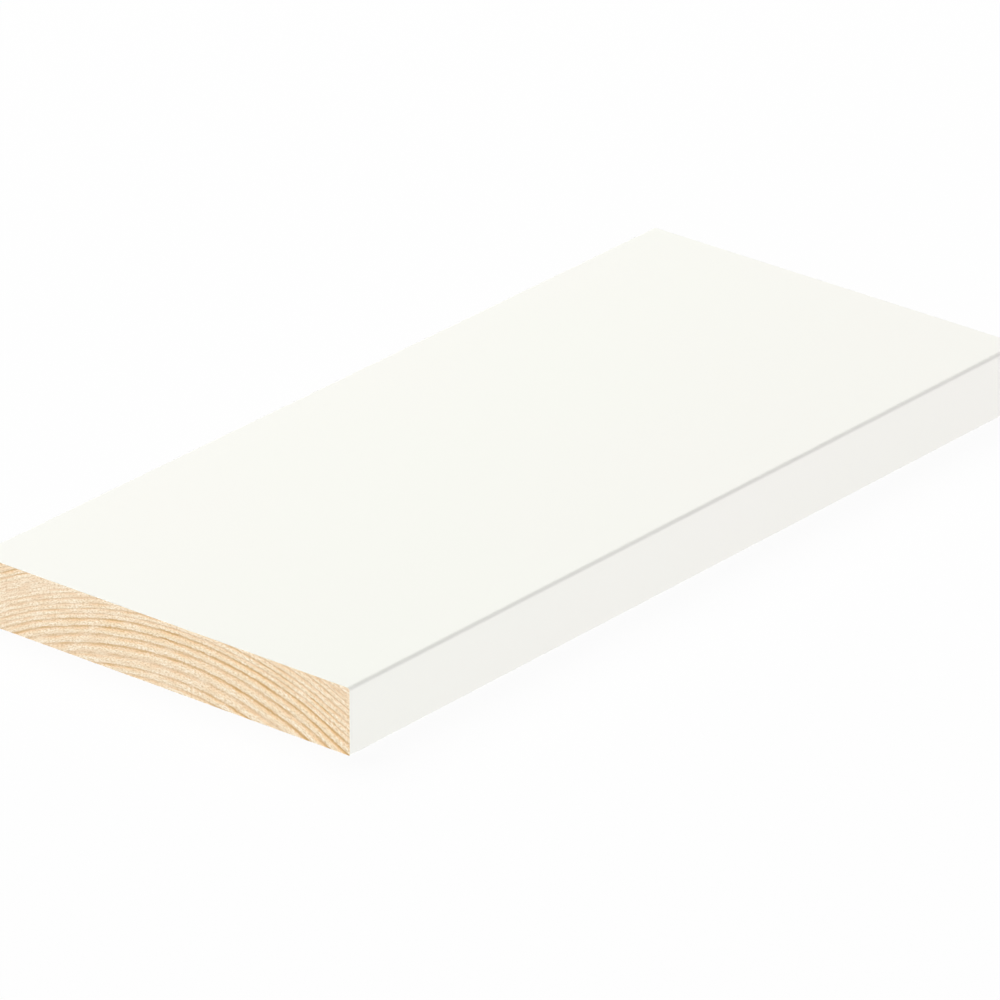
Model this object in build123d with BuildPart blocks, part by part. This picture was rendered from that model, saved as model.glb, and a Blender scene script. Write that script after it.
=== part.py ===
"""Window reveal trim: one length of planed pine board, painted on its face and long edges, sawn square at both ends.

The board lies on its back. X runs along its length, Y across its width and Z up through its thickness.
The origin is in the middle of the back, so the painted face is at the top and the room edge is at -Y.
All sizes are in millimetres.
"""

import os

from build123d import *

# Driving dimensions
board_length = 265.0
board_width = 120.0
board_thickness = 18.0
face_arris_radius = 1.0  # rounding along the two long edges of the painted face

# Section: a rectangle standing on the back, with the face side rounded and the back side left square.
# It is drawn across the board and pushed both ways along it, which leaves the two ends as square saw cuts.
with BuildPart() as reveal_board:
    with BuildSketch(Plane.YZ) as board_section:
        Rectangle(board_width, board_thickness, align=(Align.CENTER, Align.MIN))
        face_corners = board_section.vertices().group_by(Axis.Y)[-1]
        fillet(face_corners, radius=face_arris_radius)
    extrude(amount=board_length / 2, both=True)

reveal_board.part.label = "reveal_board"

os.makedirs("parts", exist_ok=True)
export_step(reveal_board.part, "parts/reveal_board.step")

print("reveal_board", reveal_board.part.bounding_box().size, "volume", round(reveal_board.part.volume))
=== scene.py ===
# %% [markdown]
# # Window reveal trim
# A reveal trim is the board that lines the side of a window opening, from the window frame out to the wall.
# This one is a short length of planed pine. Its face and its two long edges are painted, and it is sawn
# square at both ends, so the ends show bare growth rings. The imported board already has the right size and
# place. This script keeps both and gives the board a finer mesh, its three finishes, a floor, light and a
# camera.

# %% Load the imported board
import math

import bmesh
import bpy
import numpy as np
from mathutils import Matrix, Vector, noise


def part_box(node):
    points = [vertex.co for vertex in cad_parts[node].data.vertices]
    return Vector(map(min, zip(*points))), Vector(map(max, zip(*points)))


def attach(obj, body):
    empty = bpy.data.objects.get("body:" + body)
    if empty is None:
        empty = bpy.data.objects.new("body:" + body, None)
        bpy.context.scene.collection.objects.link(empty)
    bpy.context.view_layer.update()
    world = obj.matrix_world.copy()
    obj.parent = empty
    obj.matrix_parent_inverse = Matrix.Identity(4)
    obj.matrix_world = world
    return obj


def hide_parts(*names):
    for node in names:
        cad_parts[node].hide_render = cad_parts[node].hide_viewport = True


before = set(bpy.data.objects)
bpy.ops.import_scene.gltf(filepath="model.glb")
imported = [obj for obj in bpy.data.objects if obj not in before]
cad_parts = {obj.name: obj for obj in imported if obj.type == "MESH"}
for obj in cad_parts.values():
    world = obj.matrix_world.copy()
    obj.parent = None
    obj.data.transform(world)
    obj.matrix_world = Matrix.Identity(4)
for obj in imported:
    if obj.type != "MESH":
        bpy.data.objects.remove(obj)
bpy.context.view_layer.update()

MM = 0.001  # the scene is in metres, and the sizes of a board are easier to read in millimetres
board_low, board_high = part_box("reveal_board")
board_size = board_high - board_low
board_middle = (board_low + board_high) / 2
print("board, mm:", [round(side / MM, 2) for side in board_size])

# %% [markdown]
# ## The camera
# The photograph was taken with a long lens from above the near end, so parallel edges stay almost parallel.
# A camera can be set by eye, but here its place was worked out from the board's edges: the angle at which
# they lie gives the direction, and how quickly they draw together gives the distance. Two angles and a
# distance also place the lamps further down, so one function stands up both.

# %% Camera
camera_azimuth = -50.49  # degrees from straight in front of the room edge, round towards the near end
camera_elevation = 24.51  # degrees above the floor
camera_distance = 2579.2 * MM
camera_aim = Vector((-11.26, -6.40, 9.0)) * MM  # at half the board's thickness, in the photo's middle
camera_lens = 372.14  # mm
sensor_width = 36.0  # mm


def stand_at(thing, aim, azimuth, elevation, distance):
    """Stands a camera or a lamp at two angles, in degrees, and a distance from a point, looking at it."""
    turn = math.radians(azimuth)
    rise = math.radians(elevation)
    outwards = Vector((
        math.sin(turn) * math.cos(rise),
        -math.cos(turn) * math.cos(rise),
        math.sin(rise),
    ))
    thing.location = aim + outwards * distance
    thing.rotation_euler = outwards.to_track_quat("Z", "Y").to_euler()
    bpy.context.scene.collection.objects.link(thing)


camera = bpy.data.objects.new("camera", bpy.data.cameras.new("camera"))
camera.data.lens = camera_lens
camera.data.sensor_width = sensor_width
stand_at(camera, camera_aim, camera_azimuth, camera_elevation, camera_distance)
bpy.context.scene.camera = camera
bpy.context.scene.view_settings.view_transform = "Standard"
print("camera at, m:", [round(place, 3) for place in camera.location])

# %% [markdown]
# ## Helpers for materials
# Colours are easiest to pick as the sRGB hex values of a colour picker, but shaders count in linear light,
# so one function turns the first into the second. Materials could be wired by hand in the node editor. Here
# one function adds a node: it sets the node's own settings, and gives each input either a plain value or a
# link from another node, so that a material reads like a recipe from top to bottom.

# %% Colour and node helpers
def linear(hex_colour):
    """A colour written as sRGB hex, as the linear RGBA that shaders take."""
    channels = [int(hex_colour[i : i + 2], 16) / 255 for i in (1, 3, 5)]
    curved = [c / 12.92 if c <= 0.04045 else ((c + 0.055) / 1.055) ** 2.4 for c in channels]
    return (*curved, 1.0)


def add_node(tree, kind, inputs=None, stops=(), **settings):
    """Adds a node with its settings. Each input gets a value or a link.

    It is linked where the value is a node, whose first output in use is taken, or one output of a node.
    A colour ramp also has stops: how far along each one is, its hex colour and its alpha.
    """
    made = tree.nodes.new("ShaderNode" + kind)
    for name, value in settings.items():
        setattr(made, name, value)
    for socket, value in (inputs or {}).items():
        if isinstance(value, bpy.types.Node):
            value = next(out for out in value.outputs if out.enabled)
        if isinstance(value, bpy.types.NodeSocket):
            tree.links.new(value, made.inputs[socket])
        else:
            made.inputs[socket].default_value = value
    for _ in stops[2:]:
        made.color_ramp.elements.new(1.0)
    for number, (along, hex_colour, alpha) in enumerate(stops):
        made.color_ramp.elements[number].position = along
        made.color_ramp.elements[number].color = (*linear(hex_colour)[:3], alpha)
    return made


def new_material(name):
    """An empty node material and its tree."""
    material = bpy.data.materials.new(name)
    material.use_nodes = True
    material.node_tree.nodes.clear()
    return material, material.node_tree


print("white is", linear("#FFFFFF"), "and mid grey is", [round(c, 3) for c in linear("#808080")])

# %% [markdown]
# ## The floor and the surroundings
# Boards like this are photographed on a white table that is lit so evenly that it has no edge and hardly a
# shadow. A grey floor could be lit until it is white, but that much light would wash out white paint too.
# So the floor is a plane whose shader is mostly a glow of strength 1, which renders as pure white, with a
# small share of plain matt white. That share is what still takes the board's shadow.
#
# The world round the table is white too. Both are white where the camera or a reflection looks at them,
# which the Light Path node tells apart. As lights, the table is a little dimmer and the world is dark, so
# that the lamps decide which side of the board is the brighter one.

# %% Floor
floor_half_width = 12.0  # metres
floor_gap = 0.05 * MM  # so that the board's back and the floor aren't the same plane


def object_from(mesh, name):
    """Puts a finished bmesh in the scene as an object at the origin."""
    made = bpy.data.objects.new(name, bpy.data.meshes.new(name))
    mesh.to_mesh(made.data)
    mesh.free()
    bpy.context.scene.collection.objects.link(made)
    return made


floor_mesh = bmesh.new()
bmesh.ops.create_grid(floor_mesh, x_segments=1, y_segments=1, size=floor_half_width)
bmesh.ops.translate(floor_mesh, verts=floor_mesh.verts[:], vec=(0, 0, board_low.z - floor_gap))
floor = object_from(floor_mesh, "floor")
print("floor at, mm:", round((board_low.z - floor_gap) / MM, 3))

# %% White table and studio
table_glow_share = 0.95
table_light = 0.92  # how bright the table is as a light, where 1 is white
studio_light = 0.0  # and how bright the studio round the table is as a light


def white_when_seen(tree, light):
    """A node that gives 1 for the camera and in reflections, and the given level as a light."""
    path = add_node(tree, "LightPath").outputs
    bent = add_node(
        tree, "Math", {0: path["Is Glossy Ray"], 1: path["Is Transmission Ray"]}, operation="MAXIMUM"
    )
    seen = add_node(tree, "Math", {0: path["Is Camera Ray"], 1: bent}, operation="MAXIMUM")
    return add_node(tree, "MapRange", {"Value": seen, "To Min": light, "To Max": 1.0})


white_table, tree = new_material("matt white table")
matt = add_node(tree, "BsdfDiffuse", {"Color": linear("#FAFAFA")})
table_level = white_when_seen(tree, table_light)
glow = add_node(tree, "Emission", {"Color": linear("#FFFFFF"), "Strength": table_level})
table = add_node(tree, "MixShader", {0: table_glow_share, 1: matt, 2: glow})
add_node(tree, "OutputMaterial", {"Surface": table})
floor.data.materials.append(white_table)

world = bpy.data.worlds.new("studio")
world.use_nodes = True
world.node_tree.nodes.clear()
tree = world.node_tree
studio_level = white_when_seen(tree, studio_light)
sky = add_node(tree, "Background", {"Color": linear("#FFFFFF"), "Strength": studio_level})
add_node(tree, "OutputWorld", {"Surface": sky})
bpy.context.scene.world = world
print("as lights, the table is at", table_light, "and the studio at", studio_light)

# %% [markdown]
# ## The lamps
# A table top that glows lights the sides of a board, but not its face, and it lights all sides alike. So
# four soft boxes are added. The large one stands behind the board and lights its face. It comes from behind
# the rounded edge, which therefore shows as the thin grey line that tells the face from the edge. The other
# three are long and low, one before the room edge and one before each sawn end, so that they light those
# sides and hardly the face. The light before the room edge is a shade cooler. All lamps stand well back, so
# that one end of the board isn't lit more than the other. Satin paint mirrors lamps as a soft sheen. The
# large lamp's is even, and the small ones are kept out of it.
#
# An area lamp of power P lights a card that faces it at distance d with P / (pi d2). Matt white sends that
# back divided by pi once more, so a power of level * pi2 * d2 makes the card render at that level.

# %% Lamps
lamp_distance = 6.0  # metres, as are the widths and heights below


def soft_box(name, azimuth, elevation, width, height, level, colour="#FFFFFF", in_sheen=False):
    """An area lamp that looks at the middle of the board. Its angles are counted as the camera's are."""
    lamp = bpy.data.objects.new(name, bpy.data.lights.new(name, "AREA"))
    lamp.data.shape = "RECTANGLE"
    lamp.data.size = width
    lamp.data.size_y = height
    lamp.data.energy = level * math.pi**2 * lamp_distance**2
    lamp.data.color = linear(colour)[:3]
    lamp.visible_glossy = in_sheen
    stand_at(lamp, board_middle, azimuth, elevation, lamp_distance)
    print(name, "power, W:", round(lamp.data.energy, 1))


soft_box("back_lamp", azimuth=155, elevation=54, width=5.0, height=5.0, level=1.30, in_sheen=True)
soft_box("front_lamp", azimuth=-8, elevation=1, width=1.5, height=0.2, level=0.478, colour="#FCFAFF")
soft_box("near_end_lamp", azimuth=-85, elevation=2, width=1.5, height=0.4, level=0.49)
soft_box("far_end_lamp", azimuth=95, elevation=2, width=1.5, height=0.4, level=0.22)

# %% [markdown]
# ## How the tree grew
# The rings on the ends and the long flames on a board's back are the same thing, cut in two directions: the
# layers that the tree added each year. Blender has textures that draw rings, but all of one width. So the
# wood is described once, as a number of years at every point of the board, counted outwards. Each year has
# a width and a strength, read from the near end: wide and dark in the middle, fine towards the face.

# %% Years read from the near end
innermost_radius = 100.5  # mm, where the first ring begins
years_read = (  # the width of each year's ring in mm, and how dark its summer wood is, outwards
    (2.0, 0.55), (1.9, 0.65), (2.8, 0.38), (2.7, 0.72), (2.6, 0.53), (2.2, 0.84), (2.2, 0.72),
    (1.3, 0.40), (1.4, 0.64), (1.4, 0.46), (1.5, 0.42), (1.5, 0.45), (1.1, 0.32), (0.9, 0.24),
    (0.9, 0.15), (0.9, 0.15), (1.7, 0.20), (1.2, 0.74), (1.6, 0.85),
)
later_years = ((1.3, 0.60),) * 9  # further out, where the near end doesn't show them
ring_widths, ring_strengths = zip(*years_read, *later_years)
ring_radii = innermost_radius + np.concatenate(([0.0], np.cumsum(ring_widths)))
ring_numbers = np.arange(len(ring_radii))


def years_at(ring_radius):
    """How many of the rings lie inside a radius."""
    return float(np.interp(ring_radius, ring_radii, ring_numbers))


print("rings from", ring_radii[0], "to", round(ring_radii[-1], 1), "mm")

# %% [markdown]
# The middle of the trunk lies under the board, so the rings arch over it. They aren't circles. The tree
# leaned, which made the rings wider on one side. The trunk is thinner towards its top, so the rings close
# in along the board, and each one strays a little from its course.

# %% Place in the trunk
pith_y = -6.8  # mm, where the middle of the trunk lies across the board
pith_z = -101.0  # mm, and how high it lies, which is well under the back
lean = 0.37  # how strongly the rings widen towards the room edge
lean_radius = 113.0  # mm, the ring that the lean leaves where it is
out_of_round = -0.6  # mm by which a ring is flattened towards the room edge and swollen the other way
out_of_round_aside = 50.0  # mm to the side of the trunk's middle, where it is by that much
trunk_taper = 0.007  # mm that a ring closes in for each mm along the trunk
sway, sway_waves = 0.25, (70.0, 12.0, 12.0)  # mm that a ring strays, and its waves along, across and up
tremble, tremble_waves = 0.1, (20.0, 4.0, 4.0)  # mm again, for the small waves on the large ones


def wavy(x, y, z, waves):
    """Smooth noise from about -1 to 1, with waves of these three lengths."""
    return noise.noise(Vector((x / waves[0], y / waves[1], z / waves[2])))


def ring_radius_at(point):
    """How far out in the trunk a point of the board lies, in mm. The same along all of a ring."""
    x, y, z = point / MM
    along = x - board_low.x / MM
    aside = y - pith_y
    radius = math.hypot(aside, z - pith_z)
    leaning = lean * aside / radius * (radius - lean_radius)
    squeezed = out_of_round * (aside / out_of_round_aside) ** 3
    straying = sway * wavy(along, y, z, sway_waves) + tremble * wavy(along, y, z, tremble_waves)
    return radius + leaning + squeezed + trunk_taper * along + straying


middle_of_back = Vector((board_low.x, board_middle.y, board_low.z))
near_corner = Vector((board_low.x, board_low.y, board_high.z))
print("years at the back's middle:", round(years_at(ring_radius_at(middle_of_back)), 1))
print("years at the near corner of the face:", round(years_at(ring_radius_at(near_corner)), 1))

# %% Strength of the summer wood
darkest_part = 0.88  # how far through its year the wood is darkest
room_side_darker = 0.4  # how much darker the lines are at the room edge than in the middle
patchiness, patch_waves = 0.5, (300.0, 12.0, 12.0)  # how much a line varies, and over how many mm
streakiness, streak_waves = 0.5, (80.0, 3.5, 0.5)  # the same from streak to streak, the last in years


def strength_at(point, years):
    """How dark the nearest summer wood is. It is darker towards the room edge, and patchy along a ring."""
    strength = float(np.interp(years, ring_numbers[:-1] + darkest_part, ring_strengths))
    x, y, z = point / MM
    towards_room = -y / (board_size.y / MM / 2)
    patches = patchiness * wavy(x, y, z, patch_waves)
    streaks = streakiness * wavy(x, y, years, streak_waves)
    return strength * (1 + room_side_darker * towards_room + patches + streaks)


print("strength of the years read:", min(ring_strengths), "to", max(ring_strengths))

# %% [markdown]
# ## The board
# A cube with bevelled edges would give the outline, but its ends would be two flat faces, and a saw leaves
# hard summer wood standing a little proud of the soft spring wood. So the board starts as a fine grid the
# size of its section. The grid's upper corners are pressed into quarter circles and its lower ones are
# nipped off, as on the real board. Then it is extruded along the length and cut into lengths.

# %% Section grid
cell = 0.3 * MM
columns = round(board_size.y / cell)
rows = round(board_size.z / cell)
onto_near_end = Matrix((  # stands a grid of 1 x 1 up on the near end and stretches it to the section
    (0, 0, 1, board_low.x),
    (board_size.y, 0, 0, board_middle.y),
    (0, board_size.z, 0, board_middle.z),
    (0, 0, 0, 1),
))
board_mesh = bmesh.new()
bmesh.ops.create_grid(board_mesh, x_segments=columns, y_segments=rows, size=0.5, matrix=onto_near_end)
print("section grid:", len(board_mesh.verts), "points", len(board_mesh.faces), "faces")

# %% [markdown]
# A bevel would cut across the cells of the grid. But a square can be pressed into a disc without tearing
# its grid: a point at (u, v) goes to (u sqrt(1 - v2/2), v sqrt(1 - u2/2)). The two inner sides of the
# corner stay where they are, so the rest of the section isn't touched. At the back the flat left by the
# planer is one cell wide, so there only the corner point itself moves, to the middle of that flat.

# %% Rounded and nipped corners
face_arris_radius = 1.0 * MM
arris_centre_y = board_size.y / 2 - face_arris_radius
arris_centre_z = board_high.z - face_arris_radius
for point in board_mesh.verts:
    side = math.copysign(1.0, point.co.y - board_middle.y)
    out = abs(point.co.y - board_middle.y)
    u = (out - arris_centre_y) / face_arris_radius
    v = (point.co.z - arris_centre_z) / face_arris_radius
    if u > 0 and v > 0:
        out = arris_centre_y + face_arris_radius * u * math.sqrt(1 - v * v / 2)
        point.co.y = board_middle.y + side * out
        point.co.z = arris_centre_z + face_arris_radius * v * math.sqrt(1 - u * u / 2)
    elif out > board_size.y / 2 - cell / 2 and point.co.z < board_low.z + cell / 2:
        point.co.y -= side * cell / 2
        point.co.z += cell / 2
print("face arris, mm:", face_arris_radius / MM, "back arris, mm:", cell / MM)

# %% [markdown]
# On the real board the planer shapes all four sides at once while the board runs through it, so the section
# is the same from end to end. Extruding the section does the same. The long faces are then cut across,
# because the wood's pattern is stored at the points of the mesh, and the rings also sway along the board.

# %% Length
length_cuts = 23
extruded = bmesh.ops.extrude_face_region(board_mesh, geom=board_mesh.faces[:])
far_points = [item for item in extruded["geom"] if isinstance(item, bmesh.types.BMVert)]
bmesh.ops.translate(board_mesh, verts=far_points, vec=(board_size.x, 0, 0))
long_edges = [edge for edge in board_mesh.edges if edge.calc_length() > board_size.x / 2]
bmesh.ops.subdivide_edges(board_mesh, edges=long_edges, cuts=length_cuts, use_grid_fill=True)
bmesh.ops.recalc_face_normals(board_mesh, faces=board_mesh.faces[:])
print("board:", len(board_mesh.verts), "points", len(board_mesh.faces), "faces")

# %% [markdown]
# ## The wood in the mesh
# A shader could work out the rings by itself, but the sum would be a long chain of nodes, and the saw cut
# below needs the rings as well. So each point of the mesh keeps three numbers that a shader can read as
# attributes: how far out in the trunk it lies, its years, and how dark the summer wood is there.

# %% Rings at the points
radius_layer = board_mesh.verts.layers.float.new("ring_radius")
years_layer = board_mesh.verts.layers.float.new("ring_years")
strength_layer = board_mesh.verts.layers.float.new("ring_strength")
for point in board_mesh.verts:
    ring_radius = ring_radius_at(point.co)
    point[radius_layer] = ring_radius * MM
    point[years_layer] = years_at(ring_radius)
    point[strength_layer] = strength_at(point.co, point[years_layer])
every_year = [point[years_layer] for point in board_mesh.verts]
print("years in the board:", round(min(every_year), 1), "to", round(max(every_year), 1))

# %% [markdown]
# ## Which finish goes where
# The way a face looks tells what it is: ends look along the board, the back looks down, and everything else
# is painted. The same step lays the sides out on one sheet, for anyone who wants to bake the finishes. An
# unwrap by itself would give each side room by its size. Here the ends get the most, because the rings are
# the finest pattern on the board.

# %% Finishes and the baking sheet
PAINT, END_GRAIN, BACK = range(3)
finish_of_side = {"near": END_GRAIN, "far": END_GRAIN, "back": BACK}
straight = 0.9  # a face looks straight along an axis where its normal has more than this along it
halfway = 0.7  # and is nearer to the painted face than to an edge where it has more than this upwards
sheet_side = 1024  # the sheet's parts are placed in its pixels
sheet_left = 6
sheet_rows = {"near": 6, "far": 162, "back": 318, "face": 738, "room": 974, "window": 1000}
sheet_scales = {"near": 8.2, "far": 8.2, "back": 3.4, "face": 1.9, "room": 1.14, "window": 1.14}  # for 1 mm


def side_of(normal):
    """The side of the board that a face belongs to."""
    if abs(normal.x) > straight:
        return "near" if normal.x < 0 else "far"
    if normal.z < -straight:
        return "back"
    if normal.z > halfway:
        return "face"
    return "room" if normal.y < 0 else "window"


def sheet_place(side, point):
    """Where a point of a side lies on the baking sheet, from 0 to 1 both ways."""
    x, y, z = (point - board_low) / MM
    across = y if side in ("near", "far") else x
    up = y if side in ("back", "face") else z
    scale = sheet_scales[side]
    return (sheet_left + across * scale) / sheet_side, (sheet_rows[side] + up * scale) / sheet_side


sheet_layer = board_mesh.loops.layers.uv.new("OFBake")
for face in board_mesh.faces:
    side = side_of(face.normal)
    face.material_index = finish_of_side.get(side, PAINT)
    face.smooth = True
    for loop in face.loops:
        loop[sheet_layer].uv = sheet_place(side, loop.vert.co)
print("end faces:", sum(face.material_index == END_GRAIN for face in board_mesh.faces))

# %% [markdown]
# ## The saw cut
# A crosscut saw bends the soft spring wood over and cuts the hard summer wood cleanly, so each ring ends in
# a low ridge. The blade's teeth leave faint slanting scores as well. Bump in the material could draw both,
# but the mesh would stay flat, so the points themselves are moved. They go inwards from the end by less
# than a tenth of a millimetre, so the board doesn't get longer.

# %% Saw cut
spring_wood_depth = 0.06 * MM
score_depth = 0.015 * MM
score_spacing = 2.3 * MM
score_slant = 0.35  # mm sideways for each mm up
score_wander = 15 * MM  # over which the scores stray from their spacing
fuzz_depth = 0.02 * MM
fuzz_width = 0.7 * MM


def cut_depth(point, years, strength):
    """How far the saw cut lies under the highest ridges of summer wood."""
    ridge = 0.5 + 0.5 * math.cos(2 * math.pi * (years - darkest_part))
    spring_wood = spring_wood_depth * max(0.0, 1 - strength * ridge)
    tooth = (point.y + point.z * score_slant) / score_spacing + noise.noise(point / score_wander)
    score = score_depth * (0.5 + 0.5 * math.sin(2 * math.pi * tooth))
    fuzz = fuzz_depth * (0.5 + 0.5 * noise.noise(point / fuzz_width))
    return spring_wood + score + fuzz


depths = []
for point in board_mesh.verts:
    at_near_end = point.co.x < board_low.x + cell / 2
    at_far_end = point.co.x > board_high.x - cell / 2
    if at_near_end or at_far_end:
        depth = cut_depth(point.co, point[years_layer], point[strength_layer])
        point.co.x += depth if at_near_end else -depth
        depths.append(depth)
print("saw cut, mm:", round(min(depths) / MM, 3), "to", round(max(depths) / MM, 3), "deep")

# %% Finished board
sharp_angle = math.radians(40)  # edges that turn more than this stay crisp, and the arris is shaded round

board = object_from(board_mesh, "reveal_board_dressed")
board.data.set_sharp_from_angle(angle=sharp_angle)
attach(board, "root")
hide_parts("reveal_board")
print("board mesh:", len(board.data.polygons), "faces")

# %% [markdown]
# ## Satin paint
# The board is sprayed white in the factory: a water-based satin paint in the usual slightly warm white. It
# is matt enough to have no clear reflection and smooth enough to show a soft sheen. One flat colour would
# do from afar. Close up a sprayed coat has a fine orange peel about a millimetre across, which breaks the
# sheen a little, and it is a shade warmer in some places than in others, so both are drawn.

# %% Satin paint
paint_white = "#F5F7EE"
paint_warm = "#F7F5EF"
paint_cloud = 90 * MM
peel_width = 1.1 * MM
peel_height = 0.004 * MM
paint_roughness = (0.46, 0.54)  # satin, from the hollows of the peel to its tops
paint_ior = 1.5  # acrylic paint

satin_paint, tree = new_material("satin white paint")
place = add_node(tree, "TexCoord").outputs["Object"]
cloud = add_node(tree, "TexNoise", {"Vector": place, "Scale": 1 / paint_cloud, "Detail": 2.0})
colour = add_node(
    tree, "Mix", {"Factor": cloud, "A": linear(paint_white), "B": linear(paint_warm)}, data_type="RGBA"
)
peel = add_node(tree, "TexNoise", {"Vector": place, "Scale": 1 / peel_width, "Detail": 2.0})
dull = add_node(
    tree, "MapRange", {"Value": peel, "To Min": paint_roughness[0], "To Max": paint_roughness[1]}
)
ripple = add_node(tree, "Bump", {"Height": peel, "Distance": peel_height})
paint = add_node(
    tree, "BsdfPrincipled", {"Base Color": colour, "Roughness": dull, "IOR": paint_ior, "Normal": ripple}
)
add_node(tree, "OutputMaterial", {"Surface": paint})
board.data.materials.append(satin_paint)
print("finish", PAINT, "is", board.data.materials[PAINT].name)

# %% [markdown]
# ## Growth rings as a pattern
# Within a year a pine first grows wide pale cells in spring and then narrow dark ones in summer, and stops.
# So going outwards each ring warms and darkens slowly, and ends quickly. Drawing every line by itself would
# take a node for each. Instead the part of the years after the point says how far through its year the wood
# is, a ramp turns that into a colour, and the strength of the year says how much of the colour shows.

# %% Ring pattern
fray_width = 0.6 * MM


def part_of_year(tree, grain, feather):
    """A node that runs from 0 to 1 through each ring. Feather is how much its line is frayed, in years."""
    years = add_node(tree, "Attribute", attribute_name="ring_years").outputs["Fac"]
    grit = add_node(tree, "TexNoise", {"Vector": grain, "Scale": 1 / fray_width, "Detail": 2.0})
    fray = add_node(tree, "MapRange", {"Value": grit, "To Min": -feather, "To Max": feather})
    frayed = add_node(tree, "Math", {0: years, 1: fray}, operation="ADD")
    return add_node(tree, "Math", {0: frayed}, operation="FRACT")


print("summer wood is darkest at", darkest_part, "of a year")

# %% [markdown]
# ## Sawn pine end grain
# On a sawn end the fibres stand upright like the bristles of a brush. They scatter light, so the spring
# wood looks pale, the summer wood shows as tan lines, and nothing shines. A picture of a sawn end could be
# laid on, but it would show its own rings and not this board's. So the colours go on in layers. The first
# two are the spring wood, pinker in clouds that are drawn out along the rings, and the rings themselves.
# The alpha of the ramp says how much of the wood is summer wood.

# %% End grain: spring wood and rings
spring_end, spring_end_pink = "#F9EAD1", "#EFD5B6"
year_on_end = (
    (0.00, "#DEC095", 0.4), (0.08, "#EDDCBE", 0.0), (0.46, "#F8E0BC", 0.0), (0.68, "#F4CD9A", 0.4),
    (0.87, "#C99F66", 1.0), (0.94, "#CBA36B", 1.0), (1.00, "#DEC095", 0.4),
)
end_cloud = 1.0 * MM
cloud_length = 6.0  # how much longer a cloud is along the ring than across it
end_feather = 0.14  # years

end_grain, tree = new_material("sawn pine end grain")
place = add_node(tree, "TexCoord").outputs["Object"]
spot = add_node(tree, "SeparateXYZ", {"Vector": place}).outputs
outwards = add_node(tree, "Attribute", attribute_name="ring_radius").outputs["Fac"]
along_ring = add_node(tree, "CombineXYZ", {"X": spot["Y"], "Y": outwards})
grain = add_node(tree, "Mapping", {"Vector": along_ring, "Scale": (1 / cloud_length, 1, 1)})
cloud = add_node(tree, "TexNoise", {"Vector": grain, "Scale": 1 / end_cloud, "Detail": 2.0})
pink = add_node(tree, "MapRange", {"Value": cloud, "From Min": 0.35, "From Max": 0.65})
spring = add_node(
    tree, "Mix", {"Factor": pink, "A": linear(spring_end), "B": linear(spring_end_pink)}, data_type="RGBA"
)
year = add_node(tree, "ValToRGB", {"Fac": part_of_year(tree, grain, end_feather)}, stops=year_on_end)
strength = add_node(tree, "Attribute", attribute_name="ring_strength").outputs["Fac"]
ringed = add_node(tree, "Mix", {"Factor": strength, "A": spring, "B": year}, data_type="RGBA")
print("colours through a year on the ends:", len(year_on_end))

# %% [markdown]
# Where the saw tears bundles of fibres they look almost white, and where it pulls them out they leave pits.
# Their shade is painted into the colour as a darker tan. Summer wood is cut too cleanly for that, so it is
# left almost free of speckle. A single fibre is 0.03 mm across and too fine to show, so the pattern is
# drawn as coarse as a bundle.

# %% End grain: torn fibres and painted shade in the pits
# the second colour is not the wood's own: it is the shade in the pits, painted as a darker tan
torn_fibre, pit_shade_colour = "#FFF4E3", "#C2A277"
fibre_tuft = 0.4 * MM  # a bundle of fibres
tuft_length = 1.8  # how much longer a tuft is along the ring than across it
least_speckle = 0.2  # the share of the speckle that is left in summer wood, and in the pinker clouds
deepest_pit_shade = 0.6  # how much of the painted shade the deepest pits show

bristles = add_node(tree, "Mapping", {"Vector": along_ring, "Scale": (1 / tuft_length, 1, 1)})
tufts = add_node(
    tree, "TexNoise", {"Vector": bristles, "Scale": 1 / fibre_tuft, "Detail": 2.0, "Roughness": 0.7}
)
torn = add_node(tree, "MapRange", {"Value": tufts, "From Min": 0.48, "From Max": 0.62})
soft = add_node(tree, "MapRange", {"Value": year.outputs["Alpha"], "To Min": 1.0, "To Max": least_speckle})
patchy = add_node(
    tree,
    "MapRange",
    {"Value": cloud, "From Min": 0.4, "From Max": 0.6, "To Min": 1.0, "To Max": least_speckle},
)
patches = add_node(tree, "Math", {0: patchy, 1: soft}, operation="MULTIPLY")
speckle = add_node(tree, "Math", {0: torn, 1: patches}, operation="MULTIPLY")
speckled = add_node(
    tree, "Mix", {"Factor": speckle, "A": ringed, "B": linear(torn_fibre)}, data_type="RGBA"
)
# painted shade: where the tufts' noise is low, the colour darkens as if shaded inside a pit
pit_shade_share = add_node(
    tree, "MapRange", {"Value": tufts, "From Min": 0.5, "From Max": 0.32, "To Max": deepest_pit_shade}
)
shaded_in_pits = add_node(tree, "Mix", {"Factor": pit_shade_share, "A": speckled, "B": linear(pit_shade_colour)}, data_type="RGBA")
print("tufts, mm:", fibre_tuft / MM, "across and", round(fibre_tuft * tuft_length / MM, 2), "along")

# %% [markdown]
# The board was painted before it was cut, so the paint shows as a thin white film along the rim of the end.
# The film could be a solid of its own, but it is only a tenth of a millimetre thick. So it is a colour, put
# where the end grain lies that near to a painted side.

# %% End grain: film of paint
paint_film = 0.12 * MM
film_blur = 0.3  # the share of the film by which its inner edge is soft to either side


def from_long_edge(tree, spot):
    """A node that gives how far a point lies from the nearer long edge."""
    off_middle = add_node(tree, "Math", {0: spot["Y"]}, operation="ABSOLUTE")
    return add_node(tree, "Math", {0: board_high.y, 1: off_middle}, operation="SUBTRACT")


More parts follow.
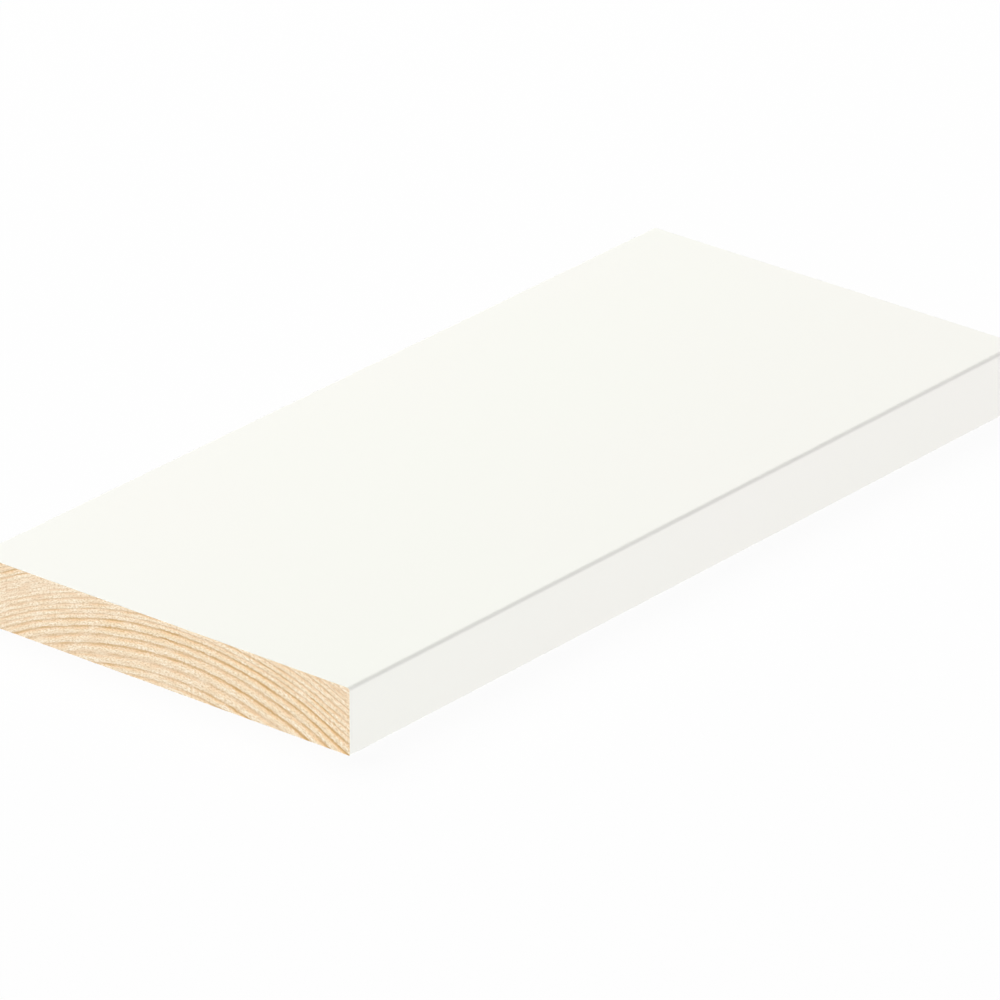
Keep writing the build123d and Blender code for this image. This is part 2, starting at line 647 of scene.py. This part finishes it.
from_face = add_node(tree, "Math", {0: board_high.z, 1: spot["Z"]}, operation="SUBTRACT")
from_paint = add_node(tree, "Math", {0: from_long_edge(tree, spot), 1: from_face}, operation="MINIMUM")
film_starts, film_ends = (1 + film_blur) * paint_film, (1 - film_blur) * paint_film
film = add_node(tree, "MapRange", {"Value": from_paint, "From Min": film_starts, "From Max": film_ends})
rimmed = add_node(tree, "Mix", {"Factor": film, "A": shaded_in_pits, "B": linear(paint_white)}, data_type="RGBA")
print("film of paint, mm:", paint_film / MM)

# %% End grain: surface
end_roughness = (0.75, 0.95)  # sawn wood, from the pits to the torn tufts
end_specular = 0.2  # open fibres reflect less than a closed surface
bristle_height = 0.04 * MM
wood_ior = 1.5  # the walls of wood cells

dull = add_node(tree, "MapRange", {"Value": tufts, "To Min": end_roughness[0], "To Max": end_roughness[1]})
bristle = add_node(tree, "Bump", {"Height": tufts, "Distance": bristle_height})
sawn = add_node(
    tree,
    "BsdfPrincipled",
    {
        "Base Color": rimmed,
        "Roughness": dull,
        "IOR": wood_ior,
        "Specular IOR Level": end_specular,
        "Normal": bristle,
    },
)
add_node(tree, "OutputMaterial", {"Surface": sawn})
board.data.materials.append(end_grain)
print("finish", END_GRAIN, "is", board.data.materials[END_GRAIN].name)

# %% [markdown]
# ## Planed pine back
# The back isn't painted. It is planed smooth, so the rings show as long flames, a little darker and
# yellower than on the ends, with fine streaks along the fibres. A second set of rings could be drawn for
# it, but the mesh already holds the right ones, so the back only has its own colours for them.

# %% Planed back: flames and streaks
spring_back, streak_back = "#EDD4A8", "#DDBB85"
year_on_back = (
    (0.00, "#EBD1A3", 0.0), (0.45, "#ECD0A0", 0.0), (0.75, "#DDB57B", 0.6), (0.92, "#C4935A", 1.0),
    (1.00, "#EBD1A3", 0.0),
)
fibre_streak = 0.6 * MM  # a bundle of fibres again
streak_length = 50  # how much longer a streak is along the board than across it
back_feather = 0.04  # years
deepest_streak = 0.5  # how much of the streaks' colour the darkest ones show

planed_back, tree = new_material("planed pine")
place = add_node(tree, "TexCoord").outputs["Object"]
lengthwise = add_node(tree, "Mapping", {"Vector": place, "Scale": (1 / streak_length, 1, 1)})
streak = add_node(tree, "TexNoise", {"Vector": lengthwise, "Scale": 1 / fibre_streak, "Detail": 3.0})
year = add_node(tree, "ValToRGB", {"Fac": part_of_year(tree, lengthwise, back_feather)}, stops=year_on_back)
strength = add_node(tree, "Attribute", attribute_name="ring_strength").outputs["Fac"]
flamed = add_node(tree, "Mix", {"Factor": strength, "A": linear(spring_back), "B": year}, data_type="RGBA")
streaky = add_node(
    tree, "MapRange", {"Value": streak, "From Min": 0.5, "From Max": 0.75, "To Max": deepest_streak}
)
streaked = add_node(
    tree, "Mix", {"Factor": streaky, "A": flamed, "B": linear(streak_back)}, data_type="RGBA"
)
print("streaks, mm:", fibre_streak / MM, "across and", fibre_streak * streak_length / MM, "along")

# %% [markdown]
# The planer's knives leave shallow ripples across the board, and a breath of the spray reaches round the
# two long edges. Both are too slight for the mesh: the ripples are bump, and the spray is the paint's
# colour, which fades out within a few millimetres, further in some places than in others.

# %% Planed back: overspray
overspray = 2.5 * MM  # the furthest that the spray could reach
drift_width = 4 * MM

spot = add_node(tree, "SeparateXYZ", {"Vector": place}).outputs
from_edge = from_long_edge(tree, spot)
drift = add_node(tree, "TexNoise", {"Vector": place, "Scale": 1 / drift_width, "Detail": 4.0})
reach = add_node(tree, "Math", {0: drift, 1: overspray}, operation="MULTIPLY")
mist = add_node(tree, "MapRange", {"Value": from_edge, "From Min": reach, "From Max": 0.0})
misted = add_node(tree, "Mix", {"Factor": mist, "A": streaked, "B": linear(paint_white)}, data_type="RGBA")
print("overspray, mm:", overspray / MM, "at most")

# %% Planed back: surface
knife_mark = 1.8 * MM
waves_per_unit = 20 / (2 * math.pi)  # how many bands Blender's wave texture draws at a scale of 1
knife_depth = 0.004 * MM
fibre_depth = 0.01 * MM
back_roughness = 0.6  # planed wood

knives = add_node(tree, "TexWave", {"Vector": place, "Scale": 1 / (knife_mark * waves_per_unit)})
ripple = add_node(tree, "Bump", {"Height": knives.outputs["Fac"], "Distance": knife_depth})
fibre = add_node(tree, "Bump", {"Height": streak, "Distance": fibre_depth, "Normal": ripple})
planed = add_node(
    tree,
    "BsdfPrincipled",
    {"Base Color": misted, "Roughness": back_roughness, "IOR": wood_ior, "Normal": fibre},
)
add_node(tree, "OutputMaterial", {"Surface": planed})
board.data.materials.append(planed_back)
print("finish", BACK, "is", board.data.materials[BACK].name)
